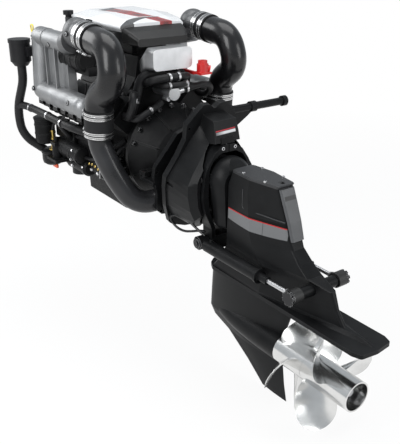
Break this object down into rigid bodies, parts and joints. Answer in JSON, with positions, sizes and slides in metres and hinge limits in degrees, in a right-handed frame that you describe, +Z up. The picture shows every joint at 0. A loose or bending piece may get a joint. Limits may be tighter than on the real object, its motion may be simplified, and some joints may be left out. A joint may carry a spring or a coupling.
{
  "type": "stern drive",
  "caption": "Marine inboard engine coupled through the transom to a steerable, tilting drive leg with contra-rotating propellers.",
  "frame": {"origin": "where the crankshaft's centre line meets the outer face of the boat's raked transom", "axes": "+X starboard, +Y forward along the crankshaft, +Z up"},
  "size_m": [0.8779, 1.9099, 1.348],
  "materials": {
    "casting_black": "satin",
    "cover_grey": "satin",
    "cast_aluminium": "satin",
    "elbow_black": "gloss",
    "engine_grey": "painted",
    "hood_white": "gloss",
    "trim_dark": "satin",
    "rubber": "matte",
    "steel": "brushed",
    "polished": "polished",
    "zinc": "cast",
    "red_cap": "gloss",
    "black_plastic": "matte"
  },
  "bodies": {
    "powerhead": {"gimbal_housing": "casting_black", "inner_transom_plate": "casting_black", "steering_tube": "casting_black", "exhaust_manifolds": "cast_aluminium", "exhaust_risers": "cast_aluminium", "plenum_end": "cast_aluminium", "thermostat_housing": "cast_aluminium", "exhaust_elbows": "elbow_black", "exhaust_pipes": "elbow_black", "engine_block": "engine_grey", "cylinder_heads": "engine_grey", "oil_pan": "engine_grey", "timing_cover": "engine_grey", "flywheel_housing": "engine_grey", "intake_manifold": "engine_grey", "starter_motor": "engine_grey", "water_pumps": "engine_grey", "front_mounts": "engine_grey", "engine_cover": "hood_white", "cover_trim": "trim_dark", "rocker_covers": "trim_dark", "drive_bellows": "rubber", "exhaust_hoses": "rubber", "coolant_hoses": "rubber", "serpentine_belt": "rubber", "rear_mounts": "rubber", "gimbal_bearing": "steel", "hose_clamps": "steel", "alternator_body": "zinc", "terminal_cover": "red_cap", "filter_canisters": "black_plastic"},
    "steer_ring": {"gimbal_ring": "casting_black", "pivot_pins": "steel", "steering_lever": "steel", "front_anchor_pin": "polished"},
    "steering_slider": {"steering_rod": "steel"},
    "drive_leg": {"bell_housing": "casting_black", "upper_housing": "casting_black", "top_cover": "cover_grey", "rear_cover": "cover_grey", "lower_gearcase": "casting_black", "trim_anode": "zinc", "aft_anchor_pin": "polished", "aft_bushes": "rubber"},
    "trim_barrels": {"trim_cylinders": "casting_black"},
    "trim_pistons": {"trim_rods": "steel"},
    "crank_train": {"crankshaft": "steel", "flywheel": "steel", "front_yoke": "steel"},
    "alternator_rotor": {"alternator_pulley": "steel"},
    "pump_rotor": {"pump_pulley": "steel"},
    "input_gear": {"input_shaft": "steel"},
    "universal_cross": {"joint_cross": "steel"},
    "drop_shaft": {"vertical_shaft": "steel"},
    "forward_screw": {"front_propeller": "polished", "prop_shaft_outer": "steel"},
    "aft_screw": {"rear_propeller": "polished", "prop_shaft_inner": "steel", "prop_nut": "steel"},
    "filler_lid": {"fill_cap": "black_plastic"}
  },
  "joints": [
    {"name": "steer", "type": "hinge", "parent": "powerhead", "child": "steer_ring", "pos_m": [0, -0.144, 0], "axis": [0, 0, 1], "range_deg": [-26, 26]},
    {"name": "rod_travel", "type": "slide", "parent": "powerhead", "child": "steering_slider", "axis": [-1, 0, 0], "range_m": [-0.0835, 0.0835]},
    {"name": "tilt", "type": "hinge", "parent": "steer_ring", "child": "drive_leg", "pos_m": [0, -0.144, 0], "axis": [-1, 0, 0], "range_deg": [-4, 45], "deforming": ["drive_bellows", "aft_bushes"]},
    {"name": "barrel_swing", "type": "hinge", "parent": "steer_ring", "child": "trim_barrels", "pos_m": [0, -0.143, -0.257], "axis": [-1, 0, 0], "range_deg": [-3.6, 39.7]},
    {"name": "piston_slide", "type": "slide", "parent": "trim_barrels", "child": "trim_pistons", "axis": [0, -1, 0], "range_m": [-0.017, 0.19]},
    {"name": "crank_spin", "type": "hinge", "parent": "powerhead", "child": "crank_train", "pos_m": [0, 0.5, 0], "axis": [0, 1, 0], "continuous": true},
    {"name": "alternator_spin", "type": "hinge", "parent": "powerhead", "child": "alternator_rotor", "pos_m": [0.178, 0.85, 0.3], "axis": [0, 1, 0], "continuous": true},
    {"name": "pump_spin", "type": "hinge", "parent": "powerhead", "child": "pump_rotor", "pos_m": [0, 0.85, 0.118], "axis": [0, 1, 0], "continuous": true},
    {"name": "input_spin", "type": "hinge", "parent": "drive_leg", "child": "input_gear", "pos_m": [0, -0.144, 0], "axis": [0, 1, 0], "continuous": true},
    {"name": "cross_swing", "type": "hinge", "parent": "input_gear", "child": "universal_cross", "pos_m": [0, -0.144, 0], "axis": [0, 0, 1], "range_deg": [-26, 26]},
    {"name": "drop_spin", "type": "hinge", "parent": "drive_leg", "child": "drop_shaft", "pos_m": [0, -0.358, -0.3], "axis": [0, 0, 1], "continuous": true},
    {"name": "forward_screw_spin", "type": "hinge", "parent": "drive_leg", "child": "forward_screw", "pos_m": [0, -0.6, -0.575], "axis": [0, 1, 0], "continuous": true},
    {"name": "aft_screw_spin", "type": "hinge", "parent": "drive_leg", "child": "aft_screw", "pos_m": [0, -0.75, -0.575], "axis": [0, 1, 0], "continuous": true},
    {"name": "lid_turn", "type": "hinge", "parent": "powerhead", "child": "filler_lid", "pos_m": [-0.198, 0.702, 0.53], "axis": [0, 0, 1], "range_deg": [-90, 90]}
  ],
  "couplings": [
    {"joint": "rod_travel", "follows": "steer", "m_per_rad": 0.18355},
    {"joint": "cross_swing", "follows": "steer", "ratio": -1},
    {"joint": "barrel_swing", "follows": "tilt", "ratio": 0.88},
    {"joint": "piston_slide", "follows": "tilt", "m_per_rad": 0.241},
    {"joint": "alternator_spin", "follows": "crank_spin", "ratio": 1.7647},
    {"joint": "pump_spin", "follows": "crank_spin", "ratio": 1.1111},
    {"joint": "input_spin", "follows": "crank_spin", "ratio": 1},
    {"joint": "drop_spin", "follows": "crank_spin", "ratio": 1},
    {"joint": "forward_screw_spin", "follows": "crank_spin", "ratio": 0.5},
    {"joint": "aft_screw_spin", "follows": "crank_spin", "ratio": -0.5}
  ]
}
